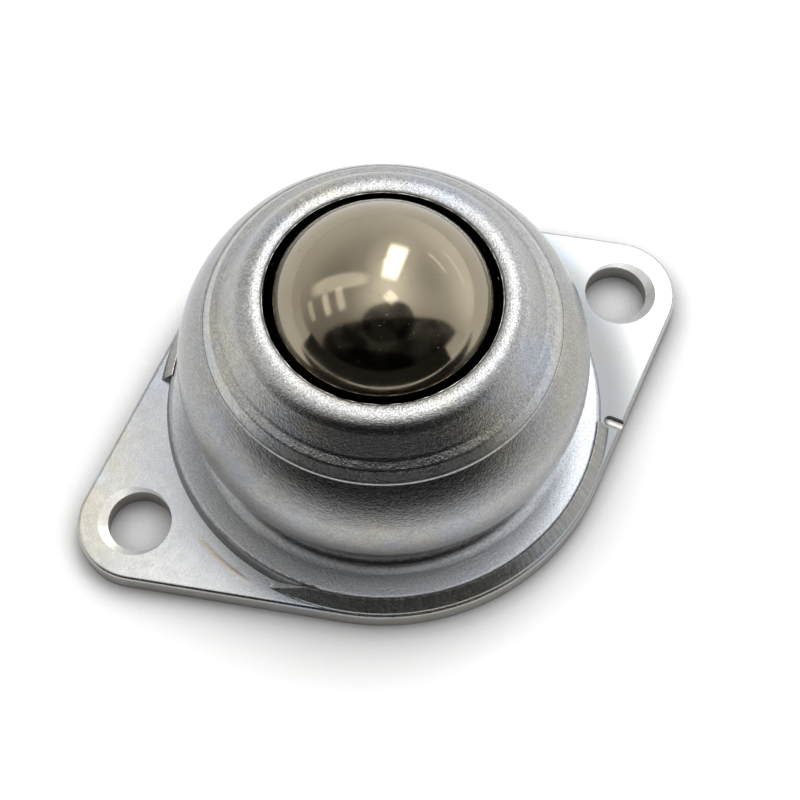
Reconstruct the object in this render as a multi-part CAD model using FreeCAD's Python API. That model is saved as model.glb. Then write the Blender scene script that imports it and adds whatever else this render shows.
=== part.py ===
import FreeCAD, Part
import math
import os

os.makedirs("parts", exist_ok=True)

# A ball castor: one big ball on a bed of small ones, in a pressed housing on a two hole plate.
# Millimetres. The origin is the middle of the plate's underside, X runs through the two
# ears and Z is up. "Deck" heights are counted from the plate's top face.

# Balls
ball_r = 25.4 / 2
bearing_d = 3.175
race_play = 0.03          # radial play on either side of the small balls
row_gap = 0.03            # least space between two rows of small balls
ring_pitch = 1.12         # spacing along a row, in small ball diameters

# Seat under the small balls
seat_floor = 3.48         # steel under the lowest small ball
seat_wall = 1.2
seat_foot_r = 8.6
seat_foot_overlap = 1.0   # how far the foot reaches up into the bowl's wall
seat_neck_drop = 0.4      # the bowl leaves its sphere this far below the ball's centre, or its rim
seat_edge_round = 0.3
rim_round = 0.15
bowl_r = ball_r + bearing_d + 2 * race_play
ball_rise = seat_floor + bowl_r       # deck to ball centre

# Base plate
plate_t = 2.5
edge_round = 0.4          # roll-over that blanking leaves round the plate's top edge
burr_break = 0.12         # what the underside keeps of its sharp edge
ear_r = 6.85
hole_r = 3.5
dish_w = 1.1              # one-sided roll-over that piercing left at each hole's mouth
dish_depth = 0.32
dish_way = math.radians(151.6)        # side of the left hole that it is on

# Cover: outer corners of the drawn sheet, each (radius, height over the deck, rounding)
sheet_t = 1.5
bulge_margin = 9.38                   # room round the ball for the bed, the seat and the sheet
bulge_r = ball_r + bulge_margin
bulge_round = 12.39
bulge_drop = 7.89                     # the bulge is widest this far below the ball's centre
bulge_h = ball_rise - bulge_drop
bulge_low = math.radians(-35.5)       # where the bulge runs into the foot
bulge_high = math.radians(42)         # where it runs into the tool land
land_w = 0.15                         # narrow land that the closing tool left
land_round = 0.05
step_in = 0.86                        # step above the land
step_rise = 1.24
step_round = 0.1
ledge_w = 0.95                        # flatter ledge on top of the step
ledge_rise = 0.55
ledge_round = 0.6
valley_round = 1.0
roll_round = 2.6                      # roll over the ball
roll_steep = math.radians(124)        # way the sheet climbs before the roll
roll_end = math.radians(201)          # way it runs at the lip
lip_bite = 0.35                       # how far the lip closes in past the ball's own radius
lip_r = ball_r - lip_bite
lip_rise = 5.39                       # lip's top edge over the ball's centre
lip_round = 0.1
lip_low_round = 0.2
flange_w = 2.22
flange_r = bulge_r + flange_w
flange_lean = 0.4                     # undercut of the flange's edge, wider at the bottom
flange_round = 0.5

# Crimp: the plate's waist is pressed up against the flange's undercut edge
crimp_play = 0.02
crimp_top = 0.1           # narrow top of the crimped lip, level with the flange
crimp_low_az = math.radians(-147.5)   # the lip's two ends; the far lip is this one turned half round
crimp_high_az = math.radians(-35)
crimp_top_round = 0.06
crimp_ramp = 4.0          # length over which the lip's left end rises out of the plate
crimp_margin = 1.15       # plate's waist beyond the flange
waist_r = flange_r + crimp_margin
mark_az = math.radians(-33)           # inner end of the groove that the tool left past one end
mark_gap = 0.35                       # between the flange and the groove's inner end
mark_w = 1.3
mark_depth = 0.45

# Ears
ear_margin = 4.73
ear_reach = waist_r + ear_margin      # hole centre from the middle

# Fits
rim_play = 0.02           # seat's rim under the cover's ledge
seat_play = 0.08          # seat's rim inside the cover's step


def along(angle):
    """Unit vector in the section plane, as (radial, up)."""
    return math.cos(angle), math.sin(angle)


def heading(a, b):
    return math.atan2(b[1] - a[1], b[0] - a[0])


def turn_at(before, corner, after):
    """Signed turn of a path at a corner, positive to the left."""
    turn = heading(corner, after) - heading(before, corner)
    return math.atan2(math.sin(turn), math.cos(turn))


def crossing(a, way_a, b, way_b):
    """Point where a line through a and a line through b meet."""
    ca, sa = along(way_a)
    cb, sb = along(way_b)
    det = cb * sa - ca * sb
    reach = (cb * (b[1] - a[1]) - sb * (b[0] - a[0])) / det
    return a[0] + reach * ca, a[1] + reach * sa


def tangent_corner(centre, radius, low, high):
    """Corner that a circle's tangents at two angles make outside it."""
    low_point = (centre[0] + radius * math.cos(low), centre[1] + radius * math.sin(low))
    high_point = (centre[0] + radius * math.cos(high), centre[1] + radius * math.sin(high))
    return crossing(low_point, low + math.pi / 2, high_point, high + math.pi / 2)


def inset(corners, depth):
    """Corners of the parallel path on the left of a path, without its two ends."""
    inner = []
    for i in range(1, len(corners) - 1):
        before, corner, after = corners[i - 1], corners[i], corners[i + 1]
        ways = heading(before, corner), heading(corner, after)
        starts = []
        for way in ways:
            left = along(way + math.pi / 2)
            starts.append((corner[0] + depth * left[0], corner[1] + depth * left[1]))
        point = crossing(starts[0], ways[0], starts[1], ways[1])
        side = math.copysign(1, turn_at(before, corner, after))
        inner.append((point[0], point[1], max(corner[2] - side * depth, 0)))
    return inner


def section_face(corners):
    """Face in the XZ plane from (radius, height, rounding) corners; roundings are cut to fit."""
    count = len(corners)
    turns = []
    wanted = []
    for i in range(count):
        turn = turn_at(corners[i - 1], corners[i], corners[(i + 1) % count])
        turns.append(turn)
        wanted.append(corners[i][2] * math.tan(abs(turn) / 2))
    setbacks = list(wanted)
    for i in range(count):
        for j in (i - 1, (i + 1) % count):
            room = math.dist(corners[i][:2], corners[j][:2])
            setbacks[i] = min(setbacks[i], max(room - wanted[j], room / 2, 0))
    points = []
    edges = []
    for i in range(count):
        r, h = corners[i][:2]
        if setbacks[i] < 1e-4:
            points.append((FreeCAD.Vector(r, 0, h),) * 2)
            continue
        back = along(heading(corners[i], corners[i - 1]))
        on = along(heading(corners[i], corners[(i + 1) % count]))
        start = FreeCAD.Vector(r + setbacks[i] * back[0], 0, h + setbacks[i] * back[1])
        end = FreeCAD.Vector(r + setbacks[i] * on[0], 0, h + setbacks[i] * on[1])
        radius = setbacks[i] / math.tan(abs(turns[i]) / 2)
        inward = (back[0] + on[0], back[1] + on[1])
        size = math.hypot(*inward)
        reach = math.hypot(setbacks[i], radius)
        centre = (r + reach * inward[0] / size, h + reach * inward[1] / size)
        nearest = FreeCAD.Vector(
            centre[0] - radius * inward[0] / size, 0, centre[1] - radius * inward[1] / size
        )
        edges.append(Part.Arc(start, nearest, end).toShape())
        points.append((start, end))
    for i in range(count):
        start, end = points[i][1], points[(i + 1) % count][0]
        if start.distanceToPoint(end) > 1e-4:
            edges.append(Part.makeLine(start, end))
    return Part.Face(Part.Wire(Part.__sortEdges__(edges)))


def spun(face):
    return face.revolve(FreeCAD.Vector(0, 0, 0), FreeCAD.Vector(0, 0, 1), 360)


def lifted(shape, height):
    return shape.translated(FreeCAD.Vector(0, 0, height))


def prism(points, low, high):
    """Upright prism over a plan outline."""
    wire = Part.makePolygon([FreeCAD.Vector(x, y, low) for x, y in points + points[:1]])
    return Part.Face(wire).extrude(FreeCAD.Vector(0, 0, high - low))


def cover_corners():
    """Outer corners of the cover from the flange up to the lip, and the inner ones back down."""
    centre = (bulge_r - bulge_round, bulge_h)
    bulge = tangent_corner(centre, bulge_round, bulge_low, bulge_high)
    foot = crossing(bulge, bulge_low + math.pi / 2, (0, sheet_t), 0)
    low_end = bulge_h + bulge_round * math.sin(bulge_low)
    foot_round = (low_end - sheet_t) / (1 - math.sin(bulge_low))
    land_r = centre[0] + bulge_round * math.cos(bulge_high)
    land_h = centre[1] + bulge_round * math.sin(bulge_high)
    step_r = land_r - land_w
    ledge = (step_r - step_in, land_h + step_rise)
    valley = (ledge[0] - ledge_w, ledge[1] + ledge_rise)
    lip = (lip_r, ball_rise + lip_rise)
    roll = crossing(valley, roll_steep, lip, roll_end)
    outer = [
        (flange_r, 0, 0),
        (flange_r - flange_lean, sheet_t, flange_round),
        (foot[0], foot[1], foot_round),
        (bulge[0], bulge[1], bulge_round),
        (land_r, land_h, land_round),
        (step_r, land_h, step_round),
        (ledge[0], ledge[1], ledge_round),
        (valley[0], valley[1], valley_round),
        (roll[0], roll[1], roll_round),
        (lip[0], lip[1], lip_round),
    ]
    inner = inset(outer[1:], sheet_t)
    lip_low = crossing(inner[-1], roll_end, (lip_r, 0), math.pi / 2)
    return outer, inner + [(lip_low[0], lip_low[1], lip_low_round)]


def cover():
    outer, inner = cover_corners()
    return lifted(spun(section_face(outer + inner[::-1])), plate_t)


def seat_rim():
    """Rim corner and neck height of the seat, fitted inside the cover's step and under its ledge."""
    step, ledge = cover_corners()[1][3:5]
    rim_r, rim_h = ledge[0] - seat_play, ledge[1] - rim_play
    steepness = (ledge[1] - step[1]) / (step[0] - ledge[0])
    neck = max((bowl_r + seat_wall - rim_r) * steepness, seat_neck_drop)
    return rim_r, rim_h, min(rim_h - neck, ball_rise - seat_neck_drop)


def ball_seat():
    """Turned bowl with a flat foot, its rim held down by the cover's ledge."""
    rim_r, rim_h, side_h = seat_rim()
    side_r = bowl_r + seat_wall
    middle = FreeCAD.Vector(0, 0, ball_rise)
    body = Part.makeSphere(side_r, middle)
    body = body.common(Part.makeCylinder(side_r, side_h))
    crown = section_face([
        (0, side_h, 0), (side_r, side_h, 0), (rim_r, rim_h, rim_round), (0, rim_h, 0)
    ])
    foot_top = ball_rise - math.sqrt(side_r**2 - seat_foot_r**2) + seat_foot_overlap
    foot = section_face([
        (0, 0, 0), (seat_foot_r, 0, seat_edge_round), (seat_foot_r, foot_top, 0), (0, foot_top, 0)
    ])
    body = body.fuse([spun(crown), spun(foot)])
    body = body.cut(Part.makeSphere(bowl_r, middle))
    body = body.cut(Part.makeCylinder(bowl_r, rim_h, middle))
    return lifted(body.removeSplitter(), plate_t)


def plan_outline():
    """Diamond outline: a round waist run out tangentially to two round ears."""
    lean = math.acos((waist_r - ear_r) / ear_reach)
    c, s = math.cos(lean), math.sin(lean)
    waist = FreeCAD.Vector(waist_r * c, waist_r * s, 0)
    ear = FreeCAD.Vector(ear_reach + ear_r * c, ear_r * s, 0)
    tip = FreeCAD.Vector(ear_reach + ear_r, 0, 0)

    def flipped(point, x, y):
        return FreeCAD.Vector(point.x * x, point.y * y, 0)

    edges = []
    for x in (1, -1):
        edges.append(Part.Arc(flipped(ear, x, 1), flipped(tip, x, 1), flipped(ear, x, -1)).toShape())
        for y in (1, -1):
            edges.append(Part.makeLine(flipped(waist, x, y), flipped(ear, x, y)))
    for y in (1, -1):
        top = FreeCAD.Vector(0, waist_r * y, 0)
        edges.append(Part.Arc(flipped(waist, 1, y), top, flipped(waist, -1, y)).toShape())
    return Part.Wire(Part.__sortEdges__(edges)), lean


def base_plate():
    """Blanked plate with two crimped lips and two pierced holes, and one groove of the crimping tool."""
    wire, lean = plan_outline()
    plate = Part.Face(wire).extrude(FreeCAD.Vector(0, 0, plate_t))
    rim_top = [e for e in plate.Edges if e.BoundBox.ZMin > plate_t - 1e-6]
    plate = plate.makeFillet(edge_round, rim_top)
    rim_low = [e for e in plate.Edges if e.BoundBox.ZMax < 1e-6]
    plate = plate.makeChamfer(burr_break, rim_low)
    lip = crimped_lip()
    plate = plate.fuse([lip, half_turned(lip)])
    for cutter in (tool_mark(lean), hole(), half_turned(hole())):
        plate = plate.cut(cutter)
    return plate.removeSplitter()


def half_turned(shape):
    turned = shape.copy()
    turned.rotate(FreeCAD.Vector(0, 0, 0), FreeCAD.Vector(0, 0, 1), 180)
    return turned


def crimped_lip():
    """Lip along the near waist, from the plate's rounded edge up to the flange's undercut edge."""
    inner_r = flange_r + crimp_play
    top = (inner_r - flange_lean + crimp_top, sheet_t)
    round_centre = (waist_r - edge_round, -edge_round)
    spread = math.acos(edge_round / math.dist(top, round_centre))
    toe_way = along(heading(round_centre, top) - spread)
    toe = (round_centre[0] + edge_round * toe_way[0], round_centre[1] + edge_round * toe_way[1])
    ring = section_face([
        (inner_r, -plate_t / 2, 0),
        (waist_r - edge_round, -plate_t / 2, 0),
        (toe[0], toe[1], 0),
        (top[0], top[1], crimp_top_round),
        (inner_r - flange_lean, sheet_t, 0),
        (inner_r, 0, 0),
    ])
    steps = 6
    fan = [(0.0, 0.0)]
    for i in range(steps + 1):
        at = crimp_low_az + (crimp_high_az - crimp_low_az) * i / steps
        fan.append((2 * waist_r * math.cos(at), 2 * waist_r * math.sin(at)))
    lip = lifted(spun(ring), plate_t).common(prism(fan, 0, plate_t + 2 * sheet_t))
    return lip.cut(ramp_cutter())


def ramp_cutter():
    """Wedge over the lip's left end, so that the lip rises from the plate's top face."""
    high = 2 * sheet_t
    profile = [(0, 0), (crimp_ramp, sheet_t), (crimp_ramp, high), (-high, high), (-high, 0)]
    near_r = flange_r - crimp_margin
    corners = [FreeCAD.Vector(near_r, t, plate_t + h) for t, h in profile]
    across = FreeCAD.Vector(3 * crimp_margin, 0, 0)
    wedge = Part.Face(Part.makePolygon(corners + corners[:1])).extrude(across)
    wedge.rotate(FreeCAD.Vector(0, 0, 0), FreeCAD.Vector(0, 0, 1), math.degrees(crimp_low_az))
    return wedge


def tool_mark(lean):
    """Round-bottomed groove over the plate's top, square to its straight edge."""
    radius = (mark_w**2 / 4 + mark_depth**2) / (2 * mark_depth)
    reach = flange_r + mark_gap + mark_w / 2
    start = FreeCAD.Vector(
        reach * math.cos(mark_az), reach * math.sin(mark_az), plate_t - mark_depth + radius
    )
    way = FreeCAD.Vector(math.cos(-lean), math.sin(-lean), 0)
    return Part.makeCylinder(radius, ear_r, start, way).fuse(Part.makeSphere(radius, start))


def hole():
    """Bolt hole in the left ear, with the dish that piercing left on one side of its mouth."""
    through = Part.makeCylinder(hole_r, plate_t, FreeCAD.Vector(-ear_reach, 0, 0))
    aside = dish_w / 2
    centre = FreeCAD.Vector(
        -ear_reach + aside * math.cos(dish_way), aside * math.sin(dish_way), plate_t - dish_depth
    )
    dish = Part.makeCone(hole_r - aside, hole_r + aside, dish_depth, centre)
    return through.fuse(dish)


def small_ball_rows():
    """Rings of small balls from the bottom of the bowl up to just under its rim."""
    track_r = ball_r + race_play + bearing_d / 2
    step = 2 * math.asin((bearing_d + row_gap) / (2 * track_r))
    rows = [[(0.0, 0.0, -track_r)]]
    angle = step
    while angle + step / 2 < math.pi / 2:
        ring = track_r * math.sin(angle)
        count = int(2 * math.pi * ring / (ring_pitch * bearing_d))
        start = math.pi / count * (len(rows) % 2)
        row = []
        for i in range(count):
            at = start + 2 * math.pi * i / count
            row.append((ring * math.cos(at), ring * math.sin(at), -track_r * math.cos(angle)))
        rows.append(row)
        angle += step
    return rows


def small_balls(row):
    middle = FreeCAD.Vector(0, 0, plate_t + ball_rise)
    balls = [Part.makeSphere(bearing_d / 2, middle + FreeCAD.Vector(*place)) for place in row]
    return balls[0] if len(balls) == 1 else Part.makeCompound(balls)


def main_ball():
    return Part.makeSphere(ball_r, FreeCAD.Vector(0, 0, plate_t + ball_rise))


pieces = {
    "base_plate": base_plate(),
    "cover": cover(),
    "ball_seat": ball_seat(),
    "main_ball": main_ball(),
}
for number, row in enumerate(small_ball_rows()):
    pieces[f"bearing_balls_{number}"] = small_balls(row)

for name, shape in pieces.items():
    shape.exportStep(f"parts/{name}.step")
    box = shape.BoundBox
    print(name, len(shape.Solids), shape.isValid(), round(shape.Volume, 2),
          [round(v, 3) for v in (box.XMin, box.YMin, box.ZMin, box.XMax, box.YMax, box.ZMax)])
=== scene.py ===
import math
import random

import bpy
from mathutils import Matrix, Vector


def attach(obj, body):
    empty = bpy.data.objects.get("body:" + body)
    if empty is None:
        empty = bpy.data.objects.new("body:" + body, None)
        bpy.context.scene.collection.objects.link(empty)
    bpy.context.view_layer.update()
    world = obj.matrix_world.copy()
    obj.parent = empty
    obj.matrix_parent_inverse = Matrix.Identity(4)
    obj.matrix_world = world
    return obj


MM = 0.001

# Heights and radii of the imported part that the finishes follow, in millimetres.
PLATE_TOP = 2.5
SHOULDER_LOW, LAND_Z = 17.5, 22.316
STEP_LOW, STEP_HIGH = 22.45, 23.45
FLANGE_TOP_R = 23.9
FLANGE_TOP, FOOT_LOW, FOOT_HIGH = 4.1, 4.5, 6.4
WAIST_R = 25.45
LIP_R, LIP_TOP = 12.35, 27.3

# Camera, from the outlines in the photograph.
CAMERA_AZ, CAMERA_EL, CAMERA_ROLL = -28.39, 63.58, 0.21
CAMERA_DISTANCE = 226.01
CAMERA_SHIFT = (1.78, -4.02)
AIM_HEIGHT = 12.5
LENS = 94.32

# Light round the part: soft patches (compass angle from +X, elevation, width, strength) and
# flat panels (angle, elevation, tilt, half width, half height, squareness, edge, strength).
# Angles are in degrees. The dark flags on the camera's side take light away in the same way.
GLOWS = (
    (-18, 4, 22, 1.35), (28, 4, 24, 1.2), (88, 6, 28, 0.9), (138, 4, 24, 0.5),
    (-60, 83, 20, 1.8), (45, 50, 20, 0.45), (180, 46, 22, 0.2), (-42, 42, 14, 0.35),
)
PANELS = (
    (43, 60, 4, 7, 17, 8, 0.6, 5.0),
    (44, 62, 4, 18, 28, 2, 0.9, 0.35),
    (133, 49, 14, 7, 25, 3, 0.5, 1.0),
    (157, 51, 0, 10, 3.5, 6, 0.3, 1.2),
    (157, 37, 0, 9, 3.0, 6, 0.3, 1.3),
    (155, 21, 0, 8, 2.5, 6, 0.3, 0.7),
    (11, 30, 105, 1.2, 9, 6, 0.5, 0.9),
    (6, 14, 105, 1.2, 12, 6, 0.5, 0.5),
    (-72, 80, 0, 5, 5.5, 5, 0.4, 1.9),
)
FLAGS = (
    (-110, 30, -5, 63, 34, 2.2, 0.2, 0.95),
    (-126, 16, 0, 34, 18, 3, 0.2, 0.8),
    (-108, 60, 4, 24, 18, 2.5, 0.2, 0.9),
)
AMBIENT = 0.16

# White wall round the floor: the elevations in degrees at which it starts to fade and ends.
WALL_TOP, WALL_END = 9, 14

# Black cloth laid in front, as its direction and its near and far edges, and a black curved card
# that stands behind it, as its compass angles, radius and height. Lengths are in millimetres.
CLOTH_AZ, CLOTH_NEAR, CLOTH_FAR = -112, 52.0, 330.0
CLOTH_FADE = 24.0
CARD_FROM, CARD_TO, CARD_R, CARD_TOP = -190, -60, 600.0, 165.0
FLOOR_HALF = 8000.0
BLACK = (0.03, 0.03, 0.03, 1)

# The stretch of the floor over which its contact shade is worked out, in metres.
SHADE_REACH = 0.009


class Nodes:
    """Short way to write a material's or world's node tree."""

    def __init__(self, tree):
        tree.nodes.clear()
        self.tree = tree

    def add(self, kind, inputs=None, **settings):
        node = self.tree.nodes.new(kind)
        for name, value in settings.items():
            setattr(node, name, value)
        for name, value in (inputs or {}).items():
            self.put(node.inputs[name], value)
        return node

    def put(self, socket, value):
        if isinstance(value, bpy.types.NodeSocket):
            self.tree.links.new(value, socket)
        else:
            socket.default_value = value

    def math(self, operation, a, b=0.0, c=0.0, clamp=False):
        node = self.add("ShaderNodeMath", operation=operation, use_clamp=clamp)
        for socket, value in zip(node.inputs, (a, b, c)):
            self.put(socket, value)
        return node.outputs[0]

    def vector(self, operation, a, b=(0, 0, 0)):
        node = self.add("ShaderNodeVectorMath", operation=operation)
        self.put(node.inputs[0], a)
        self.put(node.inputs[1], b)
        return node.outputs["Value" if operation in ("DOT_PRODUCT", "LENGTH") else 0]

    def ramp(self, value, low, high, out_low=0.0, out_high=1.0):
        """Smooth step of a value between low and high."""
        node = self.add(
            "ShaderNodeMapRange",
            {"Value": value, "From Min": low, "From Max": high, "To Min": out_low, "To Max": out_high},
            interpolation_type="SMOOTHSTEP",
        )
        return node.outputs[0]

    def band(self, value, low, high, edge):
        """1 between low and high, fading to 0 over edge on either side."""
        up = self.ramp(value, low - edge, low + edge)
        down = self.ramp(value, high - edge, high + edge, 1.0, 0.0)
        return self.math("MULTIPLY", up, down)

    def noise(self, vector, scale, detail=2.0, roughness=0.5, seed=0.0):
        node = self.add(
            "ShaderNodeTexNoise",
            {"Vector": vector, "W": seed, "Scale": scale, "Detail": detail, "Roughness": roughness},
            noise_dimensions="4D",
        )
        return node.outputs[0]

    def mix(self, factor, a, b):
        """Colour a where factor is 0 and b where it is 1."""
        node = self.add("ShaderNodeMix", data_type="RGBA")
        self.put(node.inputs["Factor"], factor)
        self.put(node.inputs[6], a if isinstance(a, bpy.types.NodeSocket) else (*a, 1))
        self.put(node.inputs[7], b if isinstance(b, bpy.types.NodeSocket) else (*b, 1))
        return node.outputs[2]

    def place(self):
        """Position in millimetres, its x, y and z, its radius from Z and its turn about Z."""
        spot = self.add("ShaderNodeTexCoord").outputs["Object"]
        mm = self.vector("SCALE", spot)
        mm.node.inputs["Scale"].default_value = 1 / MM
        split = self.add("ShaderNodeSeparateXYZ", {"Vector": mm})
        x, y, z = split.outputs
        square = self.math("ADD", self.math("MULTIPLY", x, x), self.math("MULTIPLY", y, y))
        radius = self.math("SQRT", square)
        turn = self.math("ARCTAN2", y, x)
        return mm, x, y, z, radius, turn

    def join(self, x, y, z):
        node = self.add("ShaderNodeCombineXYZ")
        for socket, value in zip(node.inputs, (x, y, z)):
            self.put(socket, value)
        return node.outputs[0]

    def bump(self, height, depth_mm, strength=1.0, normal=None):
        inputs = {"Height": height, "Distance": depth_mm * MM, "Strength": strength}
        if normal is not None:
            inputs["Normal"] = normal
        return self.add("ShaderNodeBump", inputs).outputs[0]

    def metal(self, colour, roughness, normal):
        inputs = {"Base Color": colour, "Roughness": roughness, "Normal": normal, "Metallic": 1.0}
        shader = self.add("ShaderNodeBsdfPrincipled", inputs)
        self.add("ShaderNodeOutputMaterial", {"Surface": shader.outputs[0]})


def material(name):
    made = bpy.data.materials.new(name)
    made.use_nodes = True
    return made, Nodes(made.node_tree)


def zinc(n, mm, base, warm, cool, seed):
    """Colour and mottling of zinc plate with a faint yellow and blue passivation tint."""
    colour = n.mix(n.ramp(n.noise(mm, 0.09, 2, 0.6, seed), 0.50, 0.68), base, warm)
    colour = n.mix(n.ramp(n.noise(mm, 0.12, 2, 0.6, seed + 7), 0.52, 0.70), colour, cool)
    mottle = n.noise(mm, 0.8, 4, 0.65, seed + 3)
    colour = shade(n, colour, n.ramp(mottle, 0.35, 0.7, 0.92, 1.04))
    stain = n.ramp(n.noise(mm, 1.9, 2, 0.5, seed + 11), 0.70, 0.80)
    colour = n.mix(n.math("MULTIPLY", stain, 0.22), colour, (0.24, 0.23, 0.20))
    return colour, mottle


def shade(n, colour, amount):
    """Colour multiplied by a grey amount."""
    grey = n.join(amount, amount, amount)
    node = n.add("ShaderNodeMix", data_type="RGBA", blend_type="MULTIPLY")
    n.put(node.inputs["Factor"], 1.0)
    n.put(node.inputs[6], colour)
    n.put(node.inputs[7], grey)
    return node.outputs[2]


def streaks(n, turn, z, per_turn, seed):
    """Noise drawn out up and down a wall, with per_turn streaks in each radian of turn."""
    spot = n.join(n.math("MULTIPLY", turn, per_turn), n.math("MULTIPLY", z, 0.35), 0.0)
    return n.noise(spot, 1.0, 3, 0.7, seed)


def cover_finish():
    """Sandy drawn sheet, fine scratches on the step and a few marks of the drawing die."""
    made, n = material("cover_zinc")
    mm, x, y, z, radius, turn = n.place()
    base, warm, cool = (0.36, 0.36, 0.356), (0.384, 0.371, 0.326), (0.335, 0.352, 0.384)
    colour, mottle = zinc(n, mm, base, warm, cool, 1.0)
    # Painted light: the flange is painted brighter in front and to the right, where light falls on it,
    # and painted shade darkens its edge in front and the foot above.
    flange = n.ramp(z, FLANGE_TOP, FOOT_LOW, 1.0, 0.0)
    painted_highlight = n.math("MULTIPLY", flange, n.band(turn, -2.2, 0.2, 0.4))
    colour = n.mix(n.math("MULTIPLY", flange, 0.5), colour, (0.36, 0.375, 0.405))
    colour = n.mix(n.math("MULTIPLY", painted_highlight, 0.9), colour, (0.54, 0.56, 0.60))
    # Painted shade in the crease of the foot between bulge and flange.
    colour = shade(n, colour, n.ramp(n.band(z, FOOT_LOW + 0.1, FOOT_HIGH, 0.6), 0.0, 1.0, 1.0, 0.80))
    # Painted shade along the flange's edge, on the front only.
    edge = n.math("MULTIPLY", flange, n.ramp(radius, FLANGE_TOP_R - 0.5, FLANGE_TOP_R))
    edge = n.math("MULTIPLY", edge, n.band(turn, -2.4, -1.2, 0.2))
    colour = n.mix(n.math("MULTIPLY", edge, 0.75), colour, (0.16, 0.16, 0.165))
    rough = n.math("ADD", 0.155, n.math("MULTIPLY", n.math("SUBTRACT", mottle, 0.5), 0.12))
    rough = n.math("ADD", rough, n.math("MULTIPLY", flange, 0.22))
    land = n.band(z, LAND_Z - 0.04, LAND_Z + 0.10, 0.02)
    colour = n.mix(n.math("MULTIPLY", land, 0.4), colour, (0.14, 0.14, 0.14))
    rough = n.math("ADD", rough, n.math("MULTIPLY", land, 0.25))
    # Painted shade: the shoulder between bulge and land is a little darker, deepening its dark
    # reflection.
    colour = shade(n, colour, n.ramp(n.band(z, SHOULDER_LOW, LAND_Z, 1.0), 0.0, 1.0, 1.0, 0.86))
    # The sheared inner edge of the lip is painted nearly black.
    inner = n.ramp(radius, LIP_R + 0.05, LIP_R + 0.35, 1.0, 0.0)
    cut = n.math("MULTIPLY", inner, n.ramp(z, STEP_HIGH + 0.55, STEP_HIGH + 1.55))
    colour = n.mix(n.math("MULTIPLY", cut, 0.85), colour, (0.05, 0.045, 0.04))
    grain = n.noise(mm, 4.0, 3, 0.75, 6.0)
    coarse = n.noise(mm, 1.6, 2, 0.6, 9.0)
    colour = shade(n, colour, n.ramp(grain, 0.30, 0.70, 0.72, 1.2))
    scraped = n.band(z, STEP_LOW, STEP_HIGH, 0.2)
    scratches = streaks(n, turn, z, 75.0, 2.0)
    colour = shade(n, colour, n.ramp(scraped, 0.0, 1.0, 1.0, 1.3))
    rough = n.math("ADD", rough, n.math("MULTIPLY", scraped, 0.12))
    dark = n.math("MULTIPLY", n.ramp(scratches, 0.45, 0.7), n.math("MULTIPLY", scraped, 0.4))
    colour = n.mix(dark, colour, (0.22, 0.22, 0.22))
    # A few short marks of the die low on the bulge.
    patchy = n.ramp(n.noise(mm, 0.35, 1, 0.5, 14.0), 0.5, 0.6)
    low = n.math("MULTIPLY", n.band(z, 6.8, 10.5, 1.2), patchy)
    marks = n.math("MULTIPLY", n.ramp(streaks(n, turn, z, 46.0, 12.0), 0.62, 0.70), low)
    colour = n.mix(n.math("MULTIPLY", marks, 0.6), colour, (0.2, 0.19, 0.18))
    drawn = n.join(n.math("MULTIPLY", turn, 1.6), n.math("MULTIPLY", z, 3.5), 0.0)
    rings = n.noise(drawn, 1.0, 3, 0.6, 4.0)
    sandy = n.math("SUBTRACT", 1.0, n.math("MULTIPLY", scraped, 0.6))
    normal = n.bump(n.math("MULTIPLY", grain, sandy), 0.062, 1.0)
    normal = n.bump(coarse, 0.020, 1.0, normal)
    normal = n.bump(n.math("MULTIPLY", scratches, scraped), 0.05, 0.6, normal)
    normal = n.bump(rings, 0.03, 0.25, normal)
    n.metal(colour, rough, normal)
    return made


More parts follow.
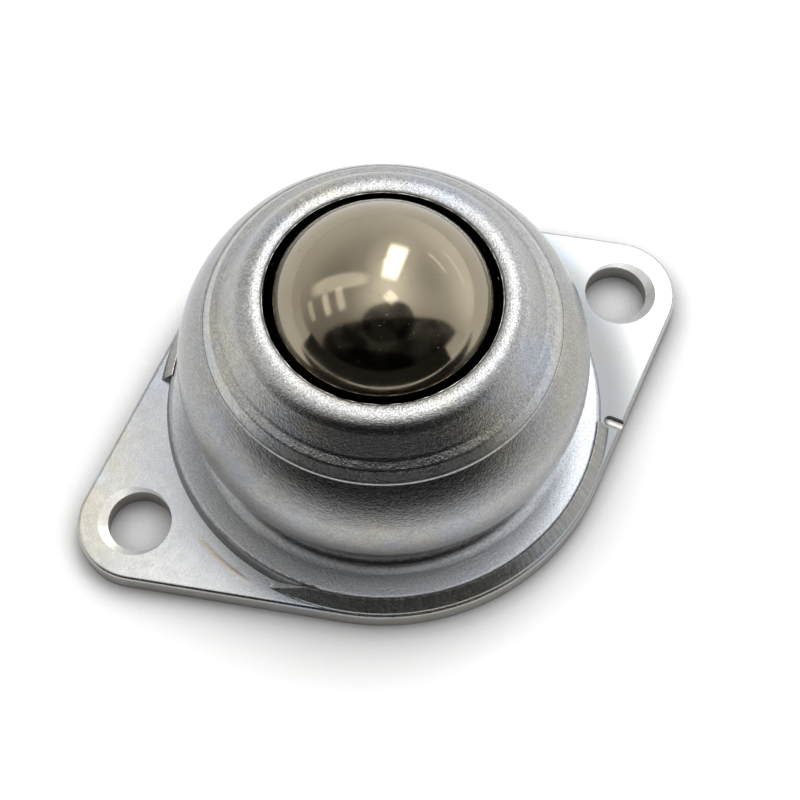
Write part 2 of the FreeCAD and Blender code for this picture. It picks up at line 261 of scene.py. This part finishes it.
def plate_finish():
    """Blanked plate: bright ears, a pressed and streaked crimp, a dull sheared edge."""
    made, n = material("plate_zinc")
    mm, x, y, z, radius, turn = n.place()
    base, warm, cool = (0.42, 0.42, 0.412), (0.44, 0.42, 0.36), (0.41, 0.45, 0.49)
    colour, mottle = zinc(n, mm, base, warm, cool, 21.0)
    rough = n.math("ADD", 0.27, n.math("MULTIPLY", n.math("SUBTRACT", mottle, 0.5), 0.12))
    grain = n.noise(mm, 4.4, 3, 0.6, 26.0)
    # Painted shade darkens the whole crimp slope, with pressed streaks in it.
    folded = n.band(radius, FLANGE_TOP_R, WAIST_R - 0.3, 0.1)
    slope = n.math("MULTIPLY", folded, n.ramp(z, PLATE_TOP + 0.05, PLATE_TOP + 0.2))
    pressed = streaks(n, turn, z, 55.0, 22.0)
    dark = n.math("MULTIPLY", slope, n.ramp(pressed, 0.35, 0.65, 0.55, 0.85))
    colour = n.mix(dark, colour, (0.21, 0.205, 0.195))
    # Painted shade: the plate is darker towards the corner beside the cover, where the dome shades it,
    # and rougher there on the right.
    corner_shade = n.math("POWER", n.ramp(radius, WAIST_R - 0.2, WAIST_R + 10.0, 1.0, 0.0), 2.0)
    corner_shade = n.math("MULTIPLY", corner_shade, n.band(z, PLATE_TOP - 0.2, PLATE_TOP + 0.03, 0.02))
    colour = n.mix(n.math("MULTIPLY", corner_shade, 0.6), colour, (0.24, 0.255, 0.28))
    rough = n.math("ADD", rough, n.math("MULTIPLY", corner_shade, n.ramp(x, 0.0, 12.0, 0.0, 0.3)))
    sheared = n.ramp(z, PLATE_TOP - 0.45, PLATE_TOP - 0.3, 1.0, 0.0)
    torn = streaks(n, turn, z, 30.0, 25.0)
    worn = n.math("MULTIPLY", sheared, n.ramp(torn, 0.3, 0.7, 0.35, 0.75))
    colour = n.mix(worn, colour, (0.38, 0.35, 0.31))
    rough = n.math("ADD", rough, n.math("MULTIPLY", sheared, 0.12))
    # The closing tool left a short soft arc on the left ear.
    near = n.band(turn, -2.95, -2.68, 0.05)
    arc = n.math("MULTIPLY", near, n.band(radius, WAIST_R + 0.2, WAIST_R + 0.6, 0.25))
    colour = n.mix(n.math("MULTIPLY", arc, 0.7), colour, (0.33, 0.28, 0.19))
    normal = n.bump(grain, 0.012, 0.8)
    normal = n.bump(n.math("MULTIPLY", pressed, slope), 0.07, 0.8, normal)
    normal = n.bump(n.math("MULTIPLY", torn, sheared), 0.06, 0.7, normal)
    normal = n.bump(arc, 0.04, 0.5, normal)
    normal = n.bump(n.noise(mm, 0.25, 2, 0.5, 31.0), 0.07, 0.35, normal)
    n.metal(colour, rough, normal)
    return made


def ball_finish(name, base, haze_colour, roughness, seed):
    """Polished ball with a thin haze and tiny pits."""
    made, n = material(name)
    mm = n.place()[0]
    haze = n.noise(mm, 0.16, 3, 0.6, seed)
    colour = n.mix(n.ramp(haze, 0.42, 0.7), base, haze_colour)
    pits = n.ramp(n.noise(mm, 3.2, 1, 0.5, seed + 2), 0.735, 0.775)
    colour = n.mix(n.math("MULTIPLY", pits, 0.7), colour, (0.10, 0.09, 0.08))
    rough = n.math("ADD", roughness, n.ramp(haze, 0.35, 0.75, 0.0, 0.09))
    fine = n.noise(mm, 2.0, 4, 0.7, seed + 4)
    normal = n.bump(fine, 0.010, 0.18)
    normal = n.bump(n.math("MULTIPLY", pits, -1.0), 0.03, 0.6, normal)
    n.metal(colour, rough, normal)
    return made


def seat_finish():
    """Turned and hardened bowl: dark steel with fine tool rings."""
    made, n = material("seat_steel")
    mm, x, y, z, radius, turn = n.place()
    turned = n.join(n.math("MULTIPLY", turn, 0.4), n.math("MULTIPLY", z, 5.0), radius)
    rings = n.noise(turned, 1.0, 3, 0.6, 41.0)
    stain = n.noise(mm, 0.3, 3, 0.6, 43.0)
    colour = n.mix(n.ramp(stain, 0.4, 0.7), (0.30, 0.30, 0.31), (0.22, 0.20, 0.18))
    rough = n.math("ADD", 0.30, n.ramp(rings, 0.3, 0.7, 0.0, 0.12))
    n.metal(colour, rough, n.bump(rings, 0.03, 0.4))
    return made


def floor_finish():
    """White for the camera and in the metal, with a light shadow; plain grey for scattered light."""
    made, n = material("studio_floor")
    path = n.add("ShaderNodeLightPath")
    near = n.add("ShaderNodeAmbientOcclusion", {"Distance": SHADE_REACH}, samples=4).outputs["AO"]
    open_sky = n.ramp(near, 0.60, 0.97)
    shade_colour = n.mix(open_sky, (0.50, 0.498, 0.505), (0.95, 0.95, 0.95))
    seen = n.add("ShaderNodeBsdfDiffuse", {"Color": shade_colour})
    lift = n.add("ShaderNodeEmission", {"Strength": n.math("MULTIPLY", open_sky, 0.18)})
    white = n.add("ShaderNodeAddShader")
    n.put(white.inputs[0], seen.outputs[0])
    n.put(white.inputs[1], lift.outputs[0])
    grey = n.add("ShaderNodeBsdfDiffuse", {"Color": (0.80, 0.79, 0.77, 1)})
    direct = n.math("ADD", path.outputs["Is Camera Ray"], path.outputs["Is Glossy Ray"])
    direct = n.math("ADD", direct, path.outputs["Is Transmission Ray"], clamp=True)
    chosen = n.add("ShaderNodeMixShader", {"Fac": direct})
    n.put(chosen.inputs[1], grey.outputs[0])
    n.put(chosen.inputs[2], white.outputs[0])
    n.add("ShaderNodeOutputMaterial", {"Surface": chosen.outputs[0]})
    return made


def card_finish():
    """Matt black card."""
    made, n = material("studio_card")
    black = n.add("ShaderNodeBsdfDiffuse", {"Color": BLACK})
    n.add("ShaderNodeOutputMaterial", {"Surface": black.outputs[0]})
    return made


def cloth_finish():
    """Black cloth with a soft edge on the part's side."""
    made, n = material("studio_cloth")
    mm = n.place()[0]
    ahead = n.vector("DOT_PRODUCT", mm, toward(CLOTH_AZ, 0))
    black = n.add("ShaderNodeBsdfDiffuse", {"Color": BLACK})
    clear = n.add("ShaderNodeBsdfTransparent")
    chosen = n.add("ShaderNodeMixShader", {"Fac": n.ramp(ahead, CLOTH_NEAR, CLOTH_NEAR + CLOTH_FADE)})
    n.put(chosen.inputs[1], clear.outputs[0])
    n.put(chosen.inputs[2], black.outputs[0])
    n.add("ShaderNodeOutputMaterial", {"Surface": chosen.outputs[0]})
    return made


def toward(azimuth, elevation):
    """Unit vector in the row frame from a compass angle counted from +X and an elevation."""
    a, e = math.radians(azimuth), math.radians(elevation)
    return Vector((math.cos(a) * math.cos(e), math.sin(a) * math.cos(e), math.sin(e)))


def glow(n, way, azimuth, elevation, width, strength):
    """Soft round patch of light that fades over width degrees."""
    near = n.vector("DOT_PRODUCT", way, toward(azimuth, elevation))
    fall = n.math("MULTIPLY", n.math("SUBTRACT", near, 1.0), 1 / math.radians(width) ** 2)
    return n.math("MULTIPLY", n.math("EXPONENT", fall), strength)


def panel(n, way, azimuth, elevation, tilt, half_wide, half_high, square, edge):
    """1 on a flat panel seen from the part, sizes in degrees, tilt turning it clockwise.

    A square of 2 gives an oval, and a higher one a rectangle with rounded corners.
    """
    ahead = toward(azimuth, elevation)
    side = toward(azimuth - 90, 0)
    top = side.cross(ahead)
    lean = math.radians(tilt)
    across = side * math.cos(lean) - top * math.sin(lean)
    up = top * math.cos(lean) + side * math.sin(lean)
    depth = n.math("MAXIMUM", n.vector("DOT_PRODUCT", way, ahead), 0.02)
    total = 0.0
    for axis, half in ((across, half_wide), (up, half_high)):
        reach = n.math("DIVIDE", n.vector("DOT_PRODUCT", way, axis), depth)
        share = n.math("DIVIDE", n.math("ABSOLUTE", reach), math.tan(math.radians(half)))
        total = n.math("ADD", total, n.math("POWER", share, square))
    return n.ramp(n.math("POWER", total, 1 / square), 1 - edge / 2, 1 + edge / 2, 1.0, 0.0)


def studio_light():
    """Tent of soft light with a white wall low down and dark flags on the camera's side."""
    world = bpy.data.worlds.new("studio")
    world.use_nodes = True
    n = Nodes(world.node_tree)
    way = n.add("ShaderNodeTexCoord").outputs["Generated"]
    folds = n.ramp(n.noise(way, 2.6, 3, 0.6, 91.0), 0.35, 0.62, 0.78, 1.0)
    light = AMBIENT
    for azimuth, elevation, width, strength in GLOWS:
        light = n.math("ADD", light, glow(n, way, azimuth, elevation, width, strength))
    for *place, strength in FLAGS:
        shape = panel(n, way, *place)
        held = n.math("MULTIPLY", n.math("MULTIPLY", shape, folds), strength)
        light = n.math("MULTIPLY", light, n.math("SUBTRACT", 1.0, held))
    for *place, strength in PANELS:
        shape = panel(n, way, *place)
        light = n.math("ADD", light, n.math("MULTIPLY", shape, strength))
    rise = n.vector("DOT_PRODUCT", way, (0, 0, 1))
    full, gone = (math.sin(math.radians(height)) for height in (WALL_TOP, WALL_END))
    wall = n.ramp(rise, full, gone, 1.0, 0.0)
    light = n.math("MAXIMUM", light, wall)
    side = n.vector("DOT_PRODUCT", way, toward(30, 0))
    colour = n.mix(n.ramp(side, -1.0, 1.0), (1.0, 0.985, 0.96), (0.985, 0.995, 1.0))
    tent = n.add("ShaderNodeBackground", {"Color": colour, "Strength": light})
    n.add("ShaderNodeOutputWorld", {"Surface": tent.outputs[0]})
    bpy.context.scene.world = world


def burr_finish():
    """Bright torn metal with dull stretches."""
    made, n = material("burr_zinc")
    mm = n.place()[0]
    patch = n.noise(mm, 1.4, 3, 0.6, 71.0)
    colour = n.mix(n.ramp(patch, 0.42, 0.62), (0.30, 0.29, 0.27), (0.80, 0.79, 0.76))
    torn = n.bump(n.noise(mm, 6.0, 2, 0.6, 72.0), 0.05, 0.8)
    n.metal(colour, n.ramp(patch, 0.3, 0.7, 0.42, 0.24), torn)
    return made


def burr_ring():
    """Thin broken burr along the trimmed edge of the cover's lip."""
    draw = random.Random(11)
    around, section = 720, 6
    waves = [(draw.randint(3, 60), draw.uniform(0, 6.3), draw.uniform(0.3, 1.0)) for _ in range(14)]
    verts, faces = [], []
    for i in range(around):
        turn = 2 * math.pi * i / around
        swell = sum(size * math.sin(count * turn + start) for count, start, size in waves) / 4
        thick = 0.045 + 0.022 * swell + draw.uniform(-0.008, 0.008)
        thick = max(thick, 0.012)
        k = (i + 1) % around
        for j in range(section):
            spin = 2 * math.pi * j / section
            r = LIP_R - 0.02 + thick * math.cos(spin)
            z = LIP_TOP - 0.10 + thick * math.sin(spin) + 0.015 * swell
            verts.append((r * math.cos(turn) * MM, r * math.sin(turn) * MM, z * MM))
            m = (j + 1) % section
            faces.append((i * section + j, k * section + j, k * section + m, i * section + m))
    mesh = bpy.data.meshes.new("lip_burr")
    mesh.from_pydata(verts, [], faces)
    mesh.polygons.foreach_set("use_smooth", [True] * len(faces))
    mesh.materials.append(burr_finish())
    ring = bpy.data.objects.new("lip_burr", mesh)
    bpy.context.scene.collection.objects.link(ring)
    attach(ring, "housing")


def staging(name, verts, faces, made):
    """Studio piece from its corners in millimetres."""
    mesh = bpy.data.meshes.new(name)
    mesh.from_pydata([Vector(spot) * MM for spot in verts], [], faces)
    mesh.materials.append(made)
    piece = bpy.data.objects.new(name, mesh)
    bpy.context.scene.collection.objects.link(piece)
    return piece


def floor():
    """White floor just under the part."""
    half, drop = FLOOR_HALF, -0.05
    corners = [(x * half, y * half, drop) for x, y in ((-1, -1), (1, -1), (1, 1), (-1, 1))]
    staging("floor", corners, [(0, 1, 2, 3)], floor_finish())


def flags():
    """Black cloth and card in front, which only the metal reflects."""
    ahead, side = toward(CLOTH_AZ, 0), toward(CLOTH_AZ + 90, 0)
    lift = Vector((0, 0, 0.5))
    ends = ((CLOTH_NEAR, -1), (CLOTH_FAR, -1), (CLOTH_FAR, 1), (CLOTH_NEAR, 1))
    spots = [ahead * reach + side * turn * CLOTH_FAR + lift for reach, turn in ends]
    cloth = staging("cloth", spots, [(0, 1, 2, 3)], cloth_finish())
    steps = 56
    verts, faces = [], []
    for i in range(steps + 1):
        foot = toward(CARD_FROM + (CARD_TO - CARD_FROM) * i / steps, 0) * CARD_R
        verts += [foot, foot + Vector((0, 0, CARD_TOP))]
        if i:
            faces.append((2 * i - 2, 2 * i, 2 * i + 1, 2 * i - 1))
    card = staging("card", verts, faces, card_finish())
    for piece in (cloth, card):
        piece.visible_camera = False
        piece.visible_diffuse = False
        piece.visible_shadow = False


def camera():
    """Camera at the photograph's angle, distance and framing."""
    back = toward(CAMERA_AZ - 90, CAMERA_EL)
    right = toward(CAMERA_AZ, 0)
    up = back.cross(right)
    aim = Vector((0, 0, AIM_HEIGHT)) + right * CAMERA_SHIFT[0] + up * CAMERA_SHIFT[1]
    made = bpy.data.cameras.new("camera")
    made.sensor_width = 36
    made.lens = LENS
    made.clip_start = 0.01
    held = bpy.data.objects.new("camera", made)
    bpy.context.scene.collection.objects.link(held)
    roll = math.radians(CAMERA_ROLL)
    side = right * math.cos(roll) + up * math.sin(roll)
    top = up * math.cos(roll) - right * math.sin(roll)
    held.matrix_world = basis(side, top, back, (aim + back * CAMERA_DISTANCE) * MM)
    bpy.context.scene.camera = held


def basis(x, y, z, origin):
    """Matrix with these axes and this origin."""
    columns = Matrix((x, y, z)).transposed().to_4x4()
    columns.translation = origin
    return columns


def dress(nodes):
    """Give each CAD node its finish."""
    cover, plate = cover_finish(), plate_finish()
    ball = ball_finish("ball_steel", (0.268, 0.231, 0.167), (0.285, 0.252, 0.186), 0.06, 51.0)
    small = ball_finish("bearing_steel", (0.70, 0.69, 0.67), (0.62, 0.60, 0.57), 0.10, 61.0)
    seat = seat_finish()
    chosen = {"cover": cover, "base_plate": plate, "main_ball": ball, "ball_seat": seat}
    for name, node in nodes.items():
        node.data.materials.clear()
        node.data.materials.append(chosen.get(name, small))


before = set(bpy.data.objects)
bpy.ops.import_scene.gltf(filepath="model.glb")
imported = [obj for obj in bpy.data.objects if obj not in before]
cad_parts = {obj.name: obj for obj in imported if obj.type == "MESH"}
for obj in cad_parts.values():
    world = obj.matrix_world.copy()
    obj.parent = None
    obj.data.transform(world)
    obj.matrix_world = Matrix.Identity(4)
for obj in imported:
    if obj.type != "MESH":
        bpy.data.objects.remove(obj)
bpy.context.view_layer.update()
dress(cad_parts)
burr_ring()
floor()
flags()
studio_light()
camera()
bpy.context.scene.view_settings.view_transform = "Standard"
